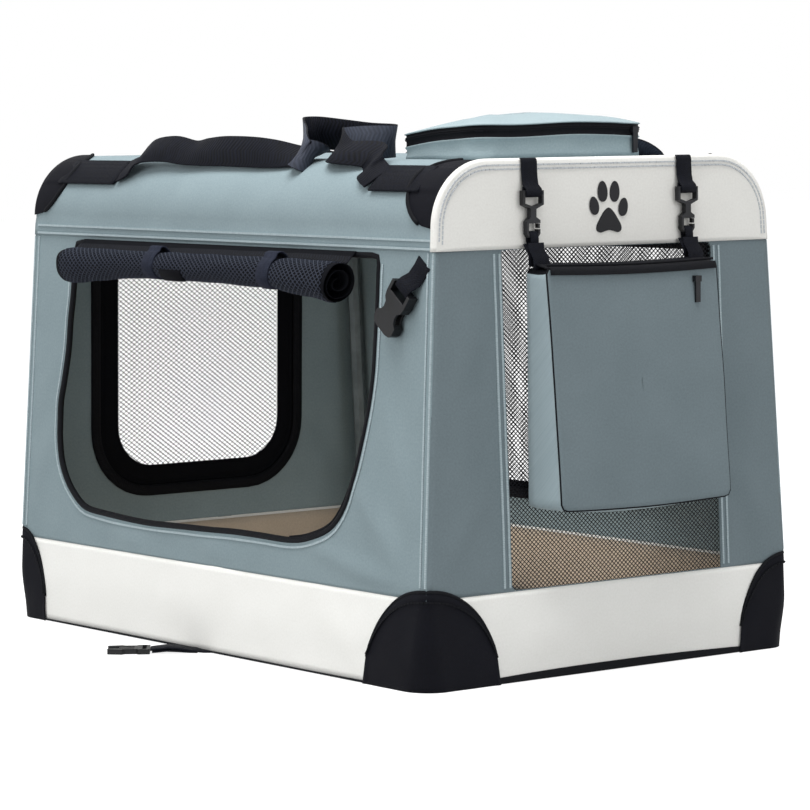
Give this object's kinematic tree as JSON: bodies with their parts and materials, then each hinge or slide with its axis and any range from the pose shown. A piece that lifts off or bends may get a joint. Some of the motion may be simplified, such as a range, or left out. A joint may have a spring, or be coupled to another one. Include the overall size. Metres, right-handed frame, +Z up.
{
  "type": "soft-sided folding pet carrier",
  "caption": "Soft-sided folding pet carrier with a steel hoop frame, mesh doors and window, rolled side door, carry handles, roof pocket and hanging bag.",
  "frame": {"origin": "middle of the base's underside, on the floor", "axes": "+Z up, -Y towards the front with the window and the hanging bag, -X towards the open side doorway"},
  "size_m": [0.5758, 0.776, 0.5553],
  "materials": {
    "base_frame": "satin powder-coated steel tube",
    "bottom_cloth": "ribbed webbing or woven cloth",
    "floor_board": "stiff board under the pad",
    "floor_pad": "short fleece",
    "white_band": "coated woven polyester",
    "bottom_patch_front_near": "ribbed webbing or woven cloth",
    "bottom_patch_front_far": "ribbed webbing or woven cloth",
    "bottom_patch_rear_near": "ribbed webbing or woven cloth",
    "bottom_patch_rear_far": "ribbed webbing or woven cloth",
    "hinge_bracket_front_near": "satin moulded plastic",
    "hinge_bracket_front_far": "satin moulded plastic",
    "hinge_bracket_rear_near": "satin moulded plastic",
    "hinge_bracket_rear_far": "satin moulded plastic",
    "hinge_pin_front_near": "plain steel rivet",
    "hinge_pin_front_far": "plain steel rivet",
    "hinge_pin_rear_near": "plain steel rivet",
    "hinge_pin_rear_far": "plain steel rivet",
    "wall_near": "coated woven polyester",
    "wall_far": "coated woven polyester",
    "wall_front": "coated woven polyester",
    "wall_rear": "coated woven polyester",
    "front_mesh": "open polyester mesh",
    "rear_hoop": "satin powder-coated steel tube",
    "front_hoop": "satin powder-coated steel tube",
    "rear_clip_near": "satin moulded plastic",
    "rear_clip_far": "satin moulded plastic",
    "roof_rail_near": "satin powder-coated steel tube",
    "roof_rail_far": "satin powder-coated steel tube",
    "front_clip_near": "satin moulded plastic",
    "front_clip_far": "satin moulded plastic",
    "roof_cloth": "coated woven polyester",
    "front_yoke": "coated woven polyester",
    "top_patch_front_near": "ribbed webbing or woven cloth",
    "top_patch_front_far": "ribbed webbing or woven cloth",
    "top_patch_rear_near": "ribbed webbing or woven cloth",
    "top_patch_rear_far": "ribbed webbing or woven cloth",
    "top_pocket": "coated woven polyester",
    "pocket_zip_slider": "satin moulded plastic",
    "handle_near": "ribbed webbing or woven cloth",
    "handle_far": "ribbed webbing or woven cloth",
    "hook_strap_near": "ribbed webbing or woven cloth",
    "hook_strap_far": "ribbed webbing or woven cloth",
    "snap_hook_near": "satin moulded plastic",
    "snap_hook_far": "satin moulded plastic",
    "hook_gate_near": "satin moulded plastic",
    "hook_gate_far": "satin moulded plastic",
    "hanging_bag": "coated woven polyester",
    "bag_zip_slider": "satin moulded plastic",
    "near_door_roll": "open polyester mesh",
    "roll_tie_front": "ribbed webbing or woven cloth",
    "roll_tie_rear": "ribbed webbing or woven cloth",
    "side_strap_near": "ribbed webbing or woven cloth",
    "side_strap_far": "ribbed webbing or woven cloth",
    "side_buckle_near": "satin moulded plastic",
    "side_buckle_far": "satin moulded plastic",
    "far_door": "open polyester mesh",
    "rear_door": "open polyester mesh",
    "base_strap": "ribbed webbing or woven cloth",
    "male_buckle": "satin moulded plastic"
  },
  "bodies": {
    "base": {"base_frame": "base_frame", "bottom_cloth": "bottom_cloth", "floor_board": "floor_board", "floor_pad": "floor_pad", "white_band": "white_band", "bottom_patch_front_near": "bottom_patch_front_near", "bottom_patch_front_far": "bottom_patch_front_far", "bottom_patch_rear_near": "bottom_patch_rear_near", "bottom_patch_rear_far": "bottom_patch_rear_far", "hinge_bracket_front_near": "hinge_bracket_front_near", "hinge_bracket_front_far": "hinge_bracket_front_far", "hinge_bracket_rear_near": "hinge_bracket_rear_near", "hinge_bracket_rear_far": "hinge_bracket_rear_far", "hinge_pin_front_near": "hinge_pin_front_near", "hinge_pin_front_far": "hinge_pin_front_far", "hinge_pin_rear_near": "hinge_pin_rear_near", "hinge_pin_rear_far": "hinge_pin_rear_far", "wall_near": "wall_near", "wall_far": "wall_far", "wall_front": "wall_front", "wall_rear": "wall_rear", "front_mesh": "front_mesh"},
    "rear_hoop": {"rear_hoop": "rear_hoop"},
    "front_hoop": {"front_hoop": "front_hoop"},
    "rear_clips": {"rear_clip_near": "rear_clip_near", "rear_clip_far": "rear_clip_far"},
    "roof": {"roof_rail_near": "roof_rail_near", "roof_rail_far": "roof_rail_far", "front_clip_near": "front_clip_near", "front_clip_far": "front_clip_far", "roof_cloth": "roof_cloth", "front_yoke": "front_yoke", "top_patch_front_near": "top_patch_front_near", "top_patch_front_far": "top_patch_front_far", "top_patch_rear_near": "top_patch_rear_near", "top_patch_rear_far": "top_patch_rear_far", "top_pocket": "top_pocket"},
    "pocket_slider": {"pocket_zip_slider": "pocket_zip_slider"},
    "handle_near": {"handle_near": "handle_near"},
    "handle_far": {"handle_far": "handle_far"},
    "front_straps": {"hook_strap_near": "hook_strap_near", "hook_strap_far": "hook_strap_far", "snap_hook_near": "snap_hook_near", "snap_hook_far": "snap_hook_far"},
    "hook_gate_near": {"hook_gate_near": "hook_gate_near"},
    "hook_gate_far": {"hook_gate_far": "hook_gate_far"},
    "hanging_bag": {"hanging_bag": "hanging_bag"},
    "bag_slider": {"bag_zip_slider": "bag_zip_slider"},
    "near_wall_trim": {"near_door_roll": "near_door_roll", "roll_tie_front": "roll_tie_front", "roll_tie_rear": "roll_tie_rear", "side_strap_near": "side_strap_near"},
    "far_wall_trim": {"side_strap_far": "side_strap_far"},
    "side_buckle_near": {"side_buckle_near": "side_buckle_near"},
    "side_buckle_far": {"side_buckle_far": "side_buckle_far"},
    "far_door": {"far_door": "far_door"},
    "rear_door": {"rear_door": "rear_door"},
    "base_strap": {"base_strap": "base_strap", "male_buckle": "male_buckle"}
  },
  "joints": [
    {"name": "rear_hoop_fold", "type": "hinge", "parent": "base", "child": "rear_hoop", "pos_m": [0, 0.335, 0.04], "axis": [1, 0, 0], "range_deg": [0, 82.5], "deforming": ["wall_near", "wall_far", "wall_front", "wall_rear", "front_mesh", "roof_cloth", "front_yoke", "top_patch_front_near", "top_patch_front_far", "top_patch_rear_near", "top_patch_rear_far", "far_door", "rear_door"]},
    {"name": "front_hoop_fold", "type": "hinge", "parent": "base", "child": "front_hoop", "pos_m": [0, -0.335, 0.04], "axis": [-1, 0, 0], "range_deg": [0, 90]},
    {"name": "clip_swivel", "type": "hinge", "parent": "rear_hoop", "child": "rear_clips", "pos_m": [0, 0.335, 0.4845], "axis": [-1, 0, 0], "range_deg": [0, 83]},
    {"name": "roof_travel", "type": "slide", "parent": "rear_clips", "child": "roof", "axis": [0, 1, 0], "range_m": [0, 0.441]},
    {"name": "front_straps_swing", "type": "hinge", "parent": "roof", "child": "front_straps", "pos_m": [0, -0.3541, 0.5068], "axis": [-1, 0, 0], "range_deg": [0, 76]},
    {"name": "near_wall_drop", "type": "slide", "parent": "base", "child": "near_wall_trim", "axis": [-0.0568, 0, -0.9984], "range_m": [0, 0.281]},
    {"name": "far_wall_drop", "type": "slide", "parent": "base", "child": "far_wall_trim", "axis": [0.0568, 0, -0.9984], "range_m": [0, 0.281]},
    {"name": "bag_swing", "type": "hinge", "parent": "front_straps", "child": "hanging_bag", "pos_m": [0, -0.35967, 0.437], "axis": [-1, 0, 0], "range_deg": [0, 35]},
    {"name": "hook_gate_near_press", "type": "hinge", "parent": "front_straps", "child": "hook_gate_near", "pos_m": [-0.096, -0.35967, 0.4487], "axis": [0, 1, 0], "range_deg": [0, 30], "stiffness_Nm_per_rad": 0.002},
    {"name": "hook_gate_far_press", "type": "hinge", "parent": "front_straps", "child": "hook_gate_far", "pos_m": [0.108, -0.35967, 0.4487], "axis": [0, 1, 0], "range_deg": [0, 30], "stiffness_Nm_per_rad": 0.002},
    {"name": "bag_zip_run", "type": "slide", "parent": "hanging_bag", "child": "bag_slider", "axis": [-1, 0, 0], "range_m": [0, 0.165]},
    {"name": "pocket_zip_run", "type": "slide", "parent": "roof", "child": "pocket_slider", "axis": [-1, 0, 0], "range_m": [0, 0.18]},
    {"name": "handle_near_swing", "type": "hinge", "parent": "roof", "child": "handle_near", "pos_m": [-0.2102, 0, 0.4811], "axis": [0, -1, 0], "range_deg": [0, 30]},
    {"name": "handle_far_swing", "type": "hinge", "parent": "roof", "child": "handle_far", "pos_m": [0.2102, 0, 0.4811], "axis": [0, 1, 0], "range_deg": [0, 30]},
    {"name": "side_buckle_near_swing", "type": "hinge", "parent": "near_wall_trim", "child": "side_buckle_near", "pos_m": [-0.22901, -0.3195, 0.38695], "axis": [0.0334, 0.809, 0.5868], "range_deg": [0, 75]},
    {"name": "side_buckle_far_swing", "type": "hinge", "parent": "far_wall_trim", "child": "side_buckle_far", "pos_m": [0.22901, -0.3195, 0.38695], "axis": [0.0334, -0.809, -0.5868], "range_deg": [0, 75]},
    {"name": "far_door_swing", "type": "hinge", "parent": "roof", "child": "far_door", "pos_m": [0.2193, 0, 0.4172], "axis": [0, -1, 0], "range_deg": [0, 90]},
    {"name": "rear_door_swing", "type": "hinge", "parent": "roof", "child": "rear_door", "pos_m": [0, 0.354, 0.4172], "axis": [1, 0, 0], "range_deg": [0, 90]},
    {"name": "base_strap_swing", "type": "hinge", "parent": "base", "child": "base_strap", "pos_m": [-0.2434, 0, 0.0026], "axis": [0, 1, 0], "range_deg": [0, 80]}
  ],
  "couplings": [
    {"joint": "front_hoop_fold", "follows": "rear_hoop_fold", "ratio": 1.085},
    {"joint": "clip_swivel", "follows": "rear_hoop_fold", "ratio": 1},
    {"joint": "roof_travel", "follows": "rear_hoop_fold", "m_per_rad": 0.30606},
    {"joint": "front_straps_swing", "follows": "rear_hoop_fold", "ratio": 0.909},
    {"joint": "near_wall_drop", "follows": "rear_hoop_fold", "m_per_rad": 0.19446},
    {"joint": "far_wall_drop", "follows": "rear_hoop_fold", "m_per_rad": 0.19446}
  ]
}
